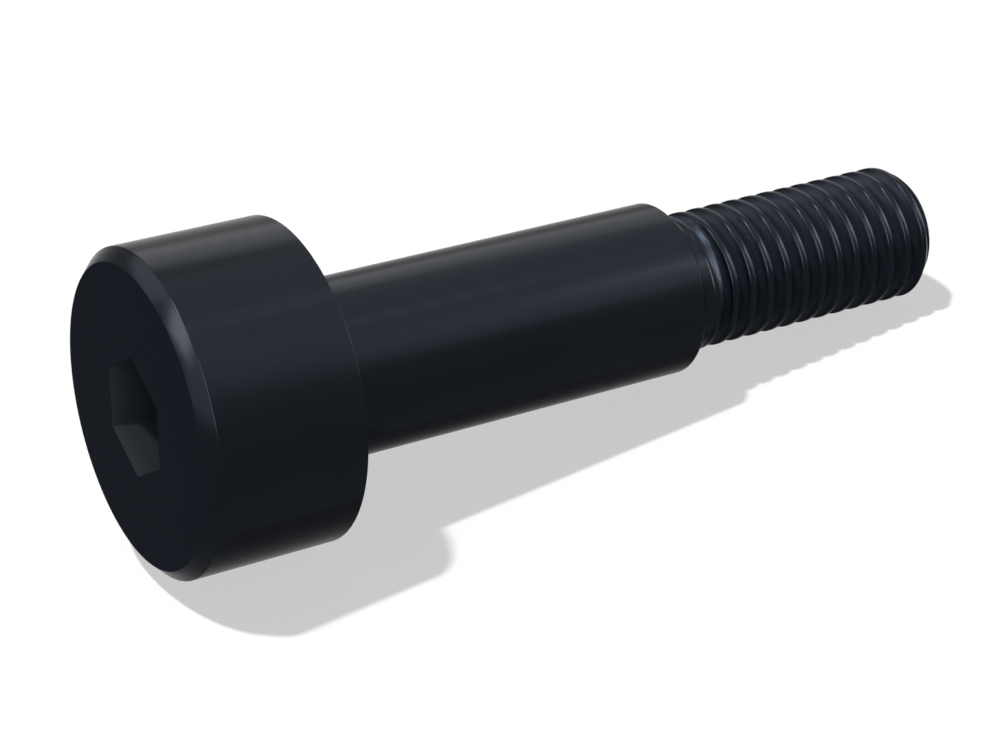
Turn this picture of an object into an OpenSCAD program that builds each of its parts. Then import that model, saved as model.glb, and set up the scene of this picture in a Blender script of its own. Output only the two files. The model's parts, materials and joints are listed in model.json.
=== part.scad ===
// Socket head shoulder bolt, turned from one bar. All sizes are in millimetres.
// The origin is the centre of the bearing face, where the head meets the shoulder.
// The bolt lies as it rests on a table, on the rim of its head and the end of its thread.

/* [Head] */
// Diameter of the head
head_d = 18; // [15:0.5:24]
// Height of the head, from its top face to the bearing face
head_h = 9; // [8:0.5:14]
// Width of the chamfer round the top face of the head
head_chamfer = 0.7; // [0.2:0.1:1.5]

/* [Hex socket] */
// Width of the socket across its flats
socket_af = 6; // [4:0.5:8]
// Depth of the socket's straight walls
socket_depth = 4.8; // [3:0.1:5]
// Full angle of the drill point below the straight walls
drill_point_angle = 118; // [110:1:140]

/* [Shoulder] */
// Diameter of the ground shoulder
shoulder_d = 10; // [9:0.5:13]
// Length of the shoulder, from the bearing face to its end face
shoulder_len = 24; // [10:1:60]
// Radius of the fillet between the bearing face and the shoulder
neck_fillet = 0.3; // [0.1:0.1:0.8]
// Width of the chamfer at the shoulder's end
shoulder_chamfer = 0.2; // [0.1:0.1:0.4]

/* [Thread] */
// Major diameter of the thread
thread_d = 8; // [6:0.5:8]
// Length of the threaded end, from the shoulder's end face to the tip
thread_len = 17.3; // [8:0.1:40]
// Diameter of the flat face at the tip
tip_d = 6.6; // [5:0.1:7.4]
// Length of the lead-in chamfer at the tip
tip_lead = 0.8; // [0.3:0.1:2]

/* [Hidden] */

head_r = head_d / 2;
shoulder_r = shoulder_d / 2;
thread_r = thread_d / 2;

// Where the full thread ends and where the bolt ends, along its axis
lead_start = shoulder_len + thread_len - tip_lead;
tip_end = shoulder_len + thread_len;

// The tip stays smaller than the thread that it leads in
tip_r = min(tip_d, thread_d) / 2;

// A hexagon's corners lie further out than its flats
socket_corner_r = socket_af / 2 / cos(30);
drill_point_h = socket_af / 2 / tan(drill_point_angle / 2);

// Slope of the axis when the rim of the head and the end of the thread touch one surface
rest_tilt = atan2(head_r - thread_r, lead_start);

// How far a cut runs past the face that it opens
overcut = 1;

// Facets of a full turn
turn_fn = 128;

// Half section of the head, chamfered round its top face
module head_section() {
    polygon([
        [0, -head_h],
        [head_r - head_chamfer, -head_h],
        [head_r, head_chamfer - head_h],
        [head_r, 0],
        [0, 0],
    ]);
}

// Half section of the shoulder, with the fillet that joins it to the bearing face
module shoulder_section() {
    polygon([
        [0, 0],
        [shoulder_r, 0],
        [shoulder_r, shoulder_len - shoulder_chamfer],
        [shoulder_r - shoulder_chamfer, shoulder_len],
        [0, shoulder_len],
    ]);
    difference() {
        translate([shoulder_r, 0])
            square(neck_fillet);
        translate([shoulder_r + neck_fillet, neck_fillet])
            circle(r = neck_fillet, $fn = turn_fn);
    }
}

// Half section of the threaded end at its major diameter, with the lead-in at the tip
module thread_section() {
    polygon([
        [0, shoulder_len],
        [thread_r, shoulder_len],
        [thread_r, lead_start],
        [tip_r, tip_end],
        [0, tip_end],
    ]);
}

// The blank as it leaves the lathe, standing on its head
module turned_blank() {
    rotate_extrude($fn = turn_fn)
        union() {
            head_section();
            shoulder_section();
            thread_section();
        }
}

// The hexagon that is broached over a drilled hole, with one corner in the plane of the rest
module hex_socket() {
    translate([0, 0, -head_h - overcut])
        cylinder(r = socket_corner_r, h = socket_depth + overcut, $fn = 6);
    translate([0, 0, socket_depth - head_h])
        cylinder(r1 = socket_af / 2, r2 = 0, h = drill_point_h, $fn = turn_fn);
}

module shoulder_bolt() {
    color("#26292f")
        rotate([0, 90 + rest_tilt, 0])
            difference() {
                turned_blank();
                hex_socket();
            }
}

shoulder_bolt();
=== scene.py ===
"""The looks of a black steel shoulder bolt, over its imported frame.

The bolt is one turned piece. Its mesh is cut standing on its head, as on the lathe, with the bearing
face at zero, and is then laid down as the frame lies. Named sizes are millimetres, and the finished mesh
is in metres.
"""

import json
from math import atan2, cos, floor, pi, radians, tan

import bmesh
import bpy
from mathutils import Matrix, Vector


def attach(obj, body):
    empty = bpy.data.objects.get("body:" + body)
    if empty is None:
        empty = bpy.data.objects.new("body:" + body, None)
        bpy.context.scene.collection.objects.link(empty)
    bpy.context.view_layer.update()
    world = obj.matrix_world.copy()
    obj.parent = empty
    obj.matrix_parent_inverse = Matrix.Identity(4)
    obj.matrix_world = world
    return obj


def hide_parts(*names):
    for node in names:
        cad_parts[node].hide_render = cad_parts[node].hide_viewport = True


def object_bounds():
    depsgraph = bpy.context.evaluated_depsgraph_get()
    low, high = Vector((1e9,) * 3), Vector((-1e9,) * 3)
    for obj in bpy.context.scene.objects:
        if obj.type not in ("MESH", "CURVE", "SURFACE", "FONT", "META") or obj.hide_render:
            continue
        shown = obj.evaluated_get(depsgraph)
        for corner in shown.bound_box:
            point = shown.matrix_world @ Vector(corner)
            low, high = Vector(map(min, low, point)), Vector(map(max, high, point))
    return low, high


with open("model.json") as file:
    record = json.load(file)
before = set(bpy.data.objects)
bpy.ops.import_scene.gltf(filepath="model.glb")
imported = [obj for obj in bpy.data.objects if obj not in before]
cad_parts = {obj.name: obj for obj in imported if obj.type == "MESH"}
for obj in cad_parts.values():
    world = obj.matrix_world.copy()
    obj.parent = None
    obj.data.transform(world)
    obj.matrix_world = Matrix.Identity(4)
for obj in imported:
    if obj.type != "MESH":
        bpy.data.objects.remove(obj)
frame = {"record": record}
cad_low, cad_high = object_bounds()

MM = 0.001

# What the frame gives: how the bolt lies, and the sizes that other parts fit
mounts = {mount["name"]: mount for mount in frame["record"]["mounts"]}
bolt_axis = Vector(mounts["shoulder"]["axis"]).normalized()
REST_TURN = atan2(bolt_axis.x, bolt_axis.z)
LAY_DOWN = Matrix.Rotation(REST_TURN, 4, "Y") @ Matrix.Scale(MM, 4)
SHOULDER_R = mounts["shoulder"]["dims"]["r_mm"]
THREAD_R = mounts["thread"]["dims"]["r_mm"]
SHOULDER_LEN = Vector(mounts["shoulder_end"]["pos_m"]).length / MM
HEAD_H = Vector(mounts["drive_socket"]["pos_m"]).length / MM

# The head
HEAD_R = 9.0
HEAD_CHAMFER = 0.7
SOCKET_AF = 6.0
SOCKET_DEPTH = 4.8
DRILL_POINT = 118.0

# The shoulder
NECK_FILLET = 0.3
SHOULDER_CHAMFER = 0.2

# The threaded end, ISO coarse
PITCH = 1.25
THREAD_LEN = 17.3
TIP_R = 3.3
TIP_LEAD = 0.8
CREST_FLAT = 0.34
CREST_ROUND = 0.11
ROOT_ROUND = 0.12
V_DEPTH = (PITCH - CREST_FLAT) / 2 * tan(pi / 3)
# Height of one crest over the bearing face, on the side that lies down
CREST_AT = SHOULDER_LEN + 1.765
# The first groove deepens over a turn, counted from that crest, and its floor slopes towards the head
CUT_FROM = -1.0
CUT_TURNS = 0.88
FLOOR_SLOPE = 0.5
# How far the plain collar before it lies below the crests
COLLAR_DROP = 0.04
# Edges along each flank, which give the run-in its points
FLANK_PARTS = 7

# How far an edge is broken
EDGE_BREAK = 0.025
# How far a cut runs past the face that it opens
OVERCUT = 1
# Steps of a full turn
LATHE_STEPS = 192
THREAD_STEPS = 144
# Points closer than this are one
WELD = 0.0005


def add_object(name, bm):
    """Puts a finished bmesh in the scene, as the object of that name."""
    mesh = bpy.data.meshes.new(name)
    bm.to_mesh(mesh)
    bm.free()
    piece = bpy.data.objects.new(name, mesh)
    bpy.context.scene.collection.objects.link(piece)
    return piece


def wire(bm, points):
    """A chain of edges through (radius, height) points in the plane of the spin."""
    verts = [bm.verts.new((r, 0, z)) for r, z in points]
    for a, b in zip(verts, verts[1:]):
        bm.edges.new((a, b))
    return verts


def round_corners(bm, corners, reach, segments):
    """Rounds corners of a wire. The reach is how far along its edges each rounding starts."""
    bmesh.ops.bevel(
        bm, geom=corners, offset=reach, offset_type="OFFSET", segments=segments, profile=0.5,
        affect="VERTICES", material=-1)


def revolve(bm):
    """Turns the wire once round the bolt's axis and closes it."""
    bmesh.ops.spin(
        bm, geom=bm.verts[:] + bm.edges[:], cent=(0, 0, 0), axis=(0, 0, 1), dvec=(0, 0, 0), angle=2 * pi,
        steps=LATHE_STEPS, use_merge=True)
    bmesh.ops.remove_doubles(bm, verts=bm.verts[:], dist=WELD)
    bmesh.ops.recalc_face_normals(bm, faces=bm.faces[:])


def turned_blank():
    """Head, fillet and shoulder, turned as one closed solid."""
    bm = bmesh.new()
    verts = wire(bm, [
        (0, -HEAD_H),
        (HEAD_R - HEAD_CHAMFER, -HEAD_H),
        (HEAD_R, HEAD_CHAMFER - HEAD_H),
        (HEAD_R, 0),
        (SHOULDER_R, 0),
        (SHOULDER_R, SHOULDER_LEN - SHOULDER_CHAMFER),
        (SHOULDER_R - SHOULDER_CHAMFER, SHOULDER_LEN),
        (0, SHOULDER_LEN),
    ])
    face_edge, side_edge, rim, neck, land_end, end_edge = verts[1:7]
    round_corners(bm, [neck], NECK_FILLET, 8)
    round_corners(bm, [face_edge, side_edge, rim, land_end, end_edge], EDGE_BREAK, 2)
    revolve(bm)
    return add_object("turned_blank", bm)


def hex_broach():
    """What the broach and the drill take out: a hexagon with a corner in the plane of the rest."""
    bm = bmesh.new()
    corner_r = SOCKET_AF / 2 / cos(pi / 6)
    depth = SOCKET_DEPTH + OVERCUT
    middle = SOCKET_DEPTH - HEAD_H - depth / 2
    bmesh.ops.create_cone(
        bm, cap_ends=True, segments=6, radius1=corner_r, radius2=corner_r, depth=depth,
        matrix=Matrix.Translation((0, 0, middle)) @ Matrix.Rotation(pi / 2, 4, "Z"))
    return add_object("hex_broach", bm)


def drill_point():
    """The drill's cone below the hexagon."""
    bm = bmesh.new()
    r = SOCKET_AF / 2
    start = SOCKET_DEPTH - HEAD_H
    end = start + r / tan(radians(DRILL_POINT / 2))
    wire(bm, [(0, start - OVERCUT), (r, start - OVERCUT), (r, start), (0, end)])
    revolve(bm)
    return add_object("drill_point", bm)


def clamp(value):
    """Keeps a share between 0 and 1."""
    return min(max(value, 0), 1)


def run_in(vert):
    """Lifts the first turn's groove to the depth that the tool has reached there."""
    turn = atan2(vert.co.y, vert.co.x) / (2 * pi) % 1
    place = (vert.co.z - CREST_AT) / PITCH - turn
    groove = floor(place)
    reached = clamp((groove + turn - CUT_FROM) / CUT_TURNS)
    floor_r = THREAD_R - max(V_DEPTH * reached, COLLAR_DROP)
    if 0 < reached < 1:
        floor_r += FLOOR_SLOPE * (place - groove - 0.5) * PITCH
    radius = vert.co.xy.length
    lifted = max(radius, min(floor_r, THREAD_R - COLLAR_DROP))
    vert.co.xy *= lifted / radius


def flank(start, end):
    """Points along a flank, without its ends."""
    return [start.lerp(end, part / FLANK_PARTS) for part in range(1, FLANK_PARTS)]


def thread_profile(bm, first, count):
    """The wire of the thread's section, over whole pitches: rounded crests and roots."""
    half = CREST_FLAT / 2
    points = []
    crests = []
    roots = []
    for k in range(first, first + count):
        z = CREST_AT + k * PITCH
        root = Vector((THREAD_R - V_DEPTH, z - PITCH / 2))
        near = Vector((THREAD_R, z - half))
        far = Vector((THREAD_R, z + half))
        next_root = Vector((THREAD_R - V_DEPTH, z + PITCH / 2))
        roots.append(len(points))
        points += [root] + flank(root, near)
        crests += [len(points), len(points) + 1]
        points += [near, far] + flank(far, next_root)
    points.append(next_root)
    verts = wire(bm, points)
    roots = [verts[at] for at in roots if at]
    crests = [verts[at] for at in crests]
    round_corners(bm, roots, ROOT_ROUND * tan(pi / 3), 4)
    round_corners(bm, crests, CREST_ROUND * tan(pi / 6), 3)


def thread_rod():
    """The threaded rod, right-hand, closed by two flat cuts. Its groove runs out to a plain collar."""
    bm = bmesh.new()
    low = SHOULDER_LEN - 0.5
    high = SHOULDER_LEN + THREAD_LEN
    first = floor((low - CREST_AT) / PITCH) - 2
    count = floor((high - low) / PITCH) + 5
    thread_profile(bm, first, count)
    bmesh.ops.spin(
        bm, geom=bm.verts[:] + bm.edges[:], cent=(0, 0, 0), axis=(0, 0, 1), dvec=(0, 0, PITCH / THREAD_STEPS),
        angle=2 * pi, steps=THREAD_STEPS, use_merge=False)
    bmesh.ops.remove_doubles(bm, verts=bm.verts[:], dist=WELD)
    for vert in bm.verts:
        run_in(vert)
    for height, side in ((low, (0, 0, -1)), (high, (0, 0, 1))):
        geom = bm.verts[:] + bm.edges[:] + bm.faces[:]
        bmesh.ops.bisect_plane(bm, geom=geom, plane_co=(0, 0, height), plane_no=side, clear_outer=True)
        rim = [edge for edge in bm.edges if edge.is_boundary and abs(edge.verts[0].co.z - height) < 0.001]
        bmesh.ops.holes_fill(bm, edges=rim, sides=0)
    bmesh.ops.recalc_face_normals(bm, faces=bm.faces[:])
    return add_object("thread_rod", bm)


def tip_turning():
    """All that the lathe leaves of the threaded end: a cylinder with the lead-in's cone."""
    bm = bmesh.new()
    outside = THREAD_R + 0.5
    slope = TIP_LEAD / (THREAD_R - TIP_R)
    tip = SHOULDER_LEN + THREAD_LEN
    verts = wire(bm, [
        (0, SHOULDER_LEN - OVERCUT),
        (outside, SHOULDER_LEN - OVERCUT),
        (outside, tip - TIP_LEAD - (outside - THREAD_R) * slope),
        (TIP_R, tip),
        (0, tip),
    ])
    round_corners(bm, [verts[3]], EDGE_BREAK, 2)
    revolve(bm)
    return add_object("tip_turning", bm)


def combine(piece, operation, other):
    """Joins, cuts or trims a piece by another one, which is then thrown away."""
    step = piece.modifiers.new(operation.lower(), "BOOLEAN")
    step.operation = operation
    step.solver = "EXACT"
    step.object = other
    graph = bpy.context.evaluated_depsgraph_get()
    mesh = bpy.data.meshes.new_from_object(piece.evaluated_get(graph))
    piece.modifiers.clear()
    piece.data = mesh
    bpy.data.objects.remove(other)


def shoulder_bolt():
    """The whole bolt as one closed mesh, laid down as the frame lies."""
    thread = thread_rod()
    combine(thread, "INTERSECT", tip_turning())
    bolt = turned_blank()
    combine(bolt, "UNION", thread)
    combine(bolt, "DIFFERENCE", hex_broach())
    combine(bolt, "DIFFERENCE", drill_point())
    bolt.name = "bolt"
    bolt.data.name = "bolt"
    bm = bmesh.new()
    bm.from_mesh(bolt.data)
    bmesh.ops.remove_doubles(bm, verts=bm.verts[:], dist=WELD)
    bmesh.ops.recalc_face_normals(bm, faces=bm.faces[:])
    bm.transform(LAY_DOWN)
    bm.to_mesh(bolt.data)
    bm.free()
    bolt.data.shade_smooth()
    bolt.data.set_sharp_from_angle(angle=radians(30))
    weighted = bolt.modifiers.new("flat faces stay flat", "WEIGHTED_NORMAL")
    weighted.keep_sharp = True
    weighted.weight = 100
    return bolt


# The oxide's colours: two that it varies between, and painted light in the socket, painted shade on the face
# and painted light in the groove
OXIDE_DARK = (0.0070, 0.0086, 0.0118, 1)
OXIDE_LIGHT = (0.0088, 0.0104, 0.0138, 1)
# Painted light: the socket's walls are coloured lighter so that they look lit
SOCKET_PAINTED_LIGHT = (0.045, 0.053, 0.066, 1)
# Painted shade: the head's face is coloured darker so that it reflects less light
FACE_PAINTED_SHADE = (0.0032, 0.0048, 0.0080, 1)
# Painted light: the thread's groove is coloured lighter, to lift the shade in its valleys
GROOVE_PAINTED_LIGHT = (0.019, 0.024, 0.035, 1)
# The face starts at this share of the head's height, and the socket ends at this share of its flats
FACE_REACH = 0.999
SOCKET_REACH = 0.62
# How far below the crests the groove's painted light starts, and over what depth it fades in
GROOVE_FROM = 0.08
GROOVE_FADE = 0.3


class Socket:
    """A shader value that can be worked with like a number."""

    def __init__(self, tree, socket):
        self.tree = tree
        self.socket = socket

    def node(self, kind, settings=None, **inputs):
        """Makes a node with its settings, then its socket values or links, named by their labels."""
        made = self.tree.nodes.new(kind)
        for name, value in (settings or {}).items():
            setattr(made, name, value)
        for name, value in inputs.items():
            target = made.inputs[int(name[1:])] if name[1:].isdigit() else made.inputs[name.replace("_", " ")]
            if isinstance(value, Socket):
                self.tree.links.new(value.socket, target)
            else:
                target.default_value = value
        return made

    def math(self, operation, first, second=0.0):
        made = self.node("ShaderNodeMath", {"operation": operation}, _0=first, _1=second)
        return Socket(self.tree, made.outputs[0])

    def clamped(self):
        return self.math("MINIMUM", self.math("MAXIMUM", self, 0.0), 1.0)

    def __add__(self, other):
        return self.math("ADD", self, other)

    def __radd__(self, other):
        return self.math("ADD", other, self)

    def __sub__(self, other):
        return self.math("SUBTRACT", self, other)

    def __rsub__(self, other):
        return self.math("SUBTRACT", other, self)

    def __mul__(self, other):
        return self.math("MULTIPLY", self, other)

    def __rmul__(self, other):
        return self.math("MULTIPLY", other, self)

    def __truediv__(self, other):
        return self.math("DIVIDE", self, other)

    def __rtruediv__(self, other):
        return self.math("DIVIDE", other, self)


def new_material(name):
    """An empty material, its Principled shader and a first Socket to work from."""
    material = bpy.data.materials.new(name)
    material.use_nodes = True
    tree = material.node_tree
    shader = tree.nodes["Principled BSDF"]
    return material, shader, Socket(tree, None)


def blend(kit, share, first, second):
    """A colour between two others, each given as a value or a Socket."""
    mix = kit.node("ShaderNodeMix", {"data_type": "RGBA"}, Factor=share, _6=first, _7=second)
    return Socket(kit.tree, mix.outputs[2])


def measure_bolt(kit):
    """Where a point lies, how far along the bolt's axis and how far from it, in metres."""
    place = Socket(kit.tree, kit.node("ShaderNodeTexCoord").outputs["Object"])
    along = kit.node("ShaderNodeVectorMath", {"operation": "DOT_PRODUCT"}, _0=place, _1=bolt_axis)
    along = Socket(kit.tree, along.outputs["Value"])
    on_axis = kit.node("ShaderNodeVectorMath", {"operation": "SCALE"}, _0=bolt_axis, Scale=along)
    on_axis = Socket(kit.tree, on_axis.outputs["Vector"])
    off_axis = kit.node("ShaderNodeVectorMath", {"operation": "DISTANCE"}, _0=place, _1=on_axis)
    return place, along, Socket(kit.tree, off_axis.outputs["Value"])


def steel_regions(along, radius):
    """One on the head's face, in the socket and in the thread's groove, and else zero."""
    on_face = along.math("LESS_THAN", along, -FACE_REACH * HEAD_H * MM)
    near_axis = along.math("LESS_THAN", radius, SOCKET_REACH * SOCKET_AF * MM)
    in_head = along.math("LESS_THAN", along, 0.0)
    in_socket = near_axis * in_head * (1 - on_face)
    depth = ((THREAD_R - GROOVE_FROM) * MM - radius) / (GROOVE_FADE * MM)
    past_shoulder = along.math("GREATER_THAN", along, SHOULDER_LEN * MM)
    return on_face, in_socket, depth.clamped() * past_shoulder


def black_steel():
    """Black oxide on turned steel: blue-black and satin, with fine marks from the lathe. Painted light makes
    the socket and the thread's groove lighter, and painted shade makes the head's face darker.
    """
    material, shader, kit = new_material("black_steel")
    tree = kit.tree
    place, along, radius = measure_bolt(kit)
    on_face, in_socket, in_groove = steel_regions(along, radius)

    feed = (along + radius * 2) / MM
    fine = kit.node(
        "ShaderNodeTexNoise", {"noise_dimensions": "1D"},
        W=feed, Scale=9.0, Detail=3.0, Roughness=0.6)
    fine = Socket(tree, fine.outputs["Fac"])
    patch = kit.node(
        "ShaderNodeTexNoise", {"noise_dimensions": "3D"},
        Vector=place, Scale=260.0, Detail=4.0, Roughness=0.55)
    patch = Socket(tree, patch.outputs["Fac"])

    colour = blend(kit, patch * 0.7 + fine * 0.3, OXIDE_DARK, OXIDE_LIGHT)
    # Painted light and shade: lighter in the socket and the groove, darker on the face
    colour = blend(kit, in_socket, colour, SOCKET_PAINTED_LIGHT)
    colour = blend(kit, on_face, colour, FACE_PAINTED_SHADE)
    colour = blend(kit, in_groove, colour, GROOVE_PAINTED_LIGHT)
    # Metal goes with the painted light and shade: more in the socket and on the face, less in the groove
    metal = 0.80 + (on_face + in_socket) * 0.20 - in_groove * 0.35
    rough = 0.18 + fine * 0.06 + patch * 0.04
    rough = rough + on_face * 0.42 + in_socket * 0.18 + in_groove * 0.14
    marks = kit.node("ShaderNodeBump", None, Strength=0.12, Distance=0.00001, Height=fine)
    tree.links.new(colour.socket, shader.inputs["Base Color"])
    tree.links.new(metal.socket, shader.inputs["Metallic"])
    tree.links.new(rough.socket, shader.inputs["Roughness"])
    tree.links.new(marks.outputs["Normal"], shader.inputs["Normal"])
    shader.inputs["Specular IOR Level"].default_value = 0.03
    shader.inputs["Specular Tint"].default_value = (0.55, 0.55, 0.55, 1)
    return material


# The table top's tones, the share of it that is seen as plain white, and how much light the room gives
TABLE_DARK = (0.93, 0.93, 0.93, 1)
TABLE_LIGHT = (0.95, 0.95, 0.95, 1)
TABLE_GLOW = 0.56
ROOM_LIGHT = 0.10


def shown_as(kit, share, lit, seen):
    """A mix of the shader that takes the light and the one that is seen, by the share of seen rays."""
    rays = kit.node("ShaderNodeLightPath")
    by_eye = Socket(kit.tree, rays.outputs["Is Camera Ray"]) + Socket(kit.tree, rays.outputs["Is Glossy Ray"])
    by_eye = by_eye + Socket(kit.tree, rays.outputs["Is Transmission Ray"])
    lit = Socket(kit.tree, lit.outputs[0])
    seen = Socket(kit.tree, seen.outputs[0])
    return kit.node("ShaderNodeMixShader", None, _0=by_eye * share, _1=lit, _2=seen).outputs[0]


def matt_white():
    """A white that shows the shadow, and else looks as bright as the room."""
    material, shader, kit = new_material("matt_white")
    tree = kit.tree
    place = Socket(tree, kit.node("ShaderNodeTexCoord").outputs["Object"])
    tone = kit.node("ShaderNodeTexNoise", {"noise_dimensions": "3D"}, Vector=place, Scale=30.0, Detail=3.0)
    colour = blend(kit, Socket(tree, tone.outputs["Fac"]), TABLE_DARK, TABLE_LIGHT)
    tree.links.new(colour.socket, shader.inputs["Base Color"])
    shader.inputs["Roughness"].default_value = 0.9
    shader.inputs["Specular IOR Level"].default_value = 0.0
    white = kit.node("ShaderNodeEmission", None, Strength=1.0)
    tree.links.new(shown_as(kit, TABLE_GLOW, shader, white), tree.nodes["Material Output"].inputs["Surface"])
    return material


def pale_floor():
    """A matt white table top under the bolt."""
    bm = bmesh.new()
    bmesh.ops.create_grid(bm, x_segments=1, y_segments=1, size=4)
    bmesh.ops.translate(bm, verts=bm.verts[:], vec=(0, 0, cad_low[2]))
    table = add_object("table_top", bm)
    table.data.materials.append(matt_white())
    return table


def world_light():
    """A white room, which lights the floor only a little."""
    world = bpy.data.worlds.new("white_room")
    bpy.context.scene.world = world
    world.use_nodes = True
    tree = world.node_tree
    kit = Socket(tree, None)
    room = tree.nodes["Background"]
    room.inputs["Color"].default_value = (1, 1, 1, 1)
    room.inputs["Strength"].default_value = ROOM_LIGHT
    walls = kit.node("ShaderNodeBackground", None, Color=(1, 1, 1, 1), Strength=1.0)
    tree.links.new(shown_as(kit, 1.0, room, walls), tree.nodes["World Output"].inputs["Surface"])


def sun(name, towards, strength, angle):
    """A distant lamp whose light falls along a direction, with the size it has in the sky."""
    light = bpy.data.lights.new(name, "SUN")
    light.energy = strength
    light.angle = angle
    piece = bpy.data.objects.new(name, light)
    piece.rotation_euler = Vector(towards).to_track_quat("-Z", "Y").to_euler()
    bpy.context.scene.collection.objects.link(piece)
    return piece


def card(name, towards, distance, width, height, glow):
    """A bright card out in one direction, in the lying bolt's axes. Its glow is measured against white.

    It is only seen in the metal, and adds no light to matt surfaces.
    """
    light = bpy.data.lights.new(name, "AREA")
    light.shape = "RECTANGLE"
    light.size = width
    light.size_y = height
    light.energy = glow * pi * width * height
    light.color = CARD_TINT
    piece = bpy.data.objects.new(name, light)
    out = DIP @ Vector(towards).normalized()
    piece.location = MIDDLE + out * distance
    piece.rotation_euler = (-out).to_track_quat("-Z", "Y").to_euler()
    piece.visible_diffuse = False
    bpy.context.scene.collection.objects.link(piece)
    return piece


# Middle of the bolt, in metres, which the cards face
MIDDLE = (Vector(cad_low) + Vector(cad_high)) / 2
# The cards are a little warm, against the blue of the oxide
CARD_TINT = (1.0, 0.95, 0.87)
# Where the key light falls, from the photo's shadow, its strength and its size in the sky
KEY_FALL = (0.26, -0.067, -1.0)
KEY_STRENGTH = 3.2
KEY_ANGLE = radians(3)
# Each card's name, direction, distance, width, height and glow
CARDS = (
    ("overhead", (0.47, 0.14, 0.87), 0.5, 0.4, 0.84, 2.0),
    ("behind", (0.47, 0.70, 0.54), 0.6, 0.4, 0.26, 5.0),
    ("far_left", (-0.54, 0.61, 0.58), 0.5, 0.3, 0.27, 4.3),
    ("front", (0.47, -0.54, 0.695), 0.5, 0.3, 0.45, 1.9),
    ("left", (-0.79, 0.04, 0.61), 0.5, 0.18, 0.22, 15.0),
    ("left_wall", (-0.88, -0.33, 0.35), 0.52, 0.35, 0.35, 2.4),
    ("near_left", (-0.30, -0.82, 0.46), 0.5, 0.28, 0.4, 18.0),
    ("right", (0.86, -0.38, 0.33), 0.5, 0.26, 0.4, 18.0),
)

# The camera and the cards were fitted to the photo with the bolt level, so they dip with the bolt
DIP = Matrix.Rotation(REST_TURN - pi / 2, 3, "Y")
CAMERA_FROM_FACE = Vector((-51.614, -121.953, 63.786))
CAMERA_RIGHT = Vector((0.85513, -0.51841, 0))
CAMERA_FORWARD = Vector((0.46953, 0.77450, -0.42390))
FOCAL_PIXELS = 2793.75
PICTURE_WIDTH = 1000
SENSOR_WIDTH = 36


def camera():
    """The camera that took the photo."""
    view = bpy.data.cameras.new("camera")
    view.sensor_width = SENSOR_WIDTH
    view.lens = FOCAL_PIXELS / PICTURE_WIDTH * SENSOR_WIDTH
    view.clip_start = 0.01
    view.clip_end = 20
    piece = bpy.data.objects.new("camera", view)
    right = DIP @ CAMERA_RIGHT
    back = -(DIP @ CAMERA_FORWARD)
    up = back.cross(right)
    turn = Matrix((right, up, back)).transposed().to_4x4()
    place = Vector(mounts["drive_socket"]["pos_m"]) + DIP @ CAMERA_FROM_FACE * MM
    piece.matrix_world = Matrix.Translation(place) @ turn
    bpy.context.scene.collection.objects.link(piece)
    bpy.context.scene.camera = piece
    return piece


bolt = shoulder_bolt()
bolt.data.materials.append(black_steel())
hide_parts("shoulder_bolt")
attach(bolt, "root")

table = pale_floor()
world_light()
sun("key", KEY_FALL, KEY_STRENGTH, KEY_ANGLE)
for row in CARDS:
    card(*row)
camera()

scene = bpy.context.scene
scene.view_settings.view_transform = "Standard"
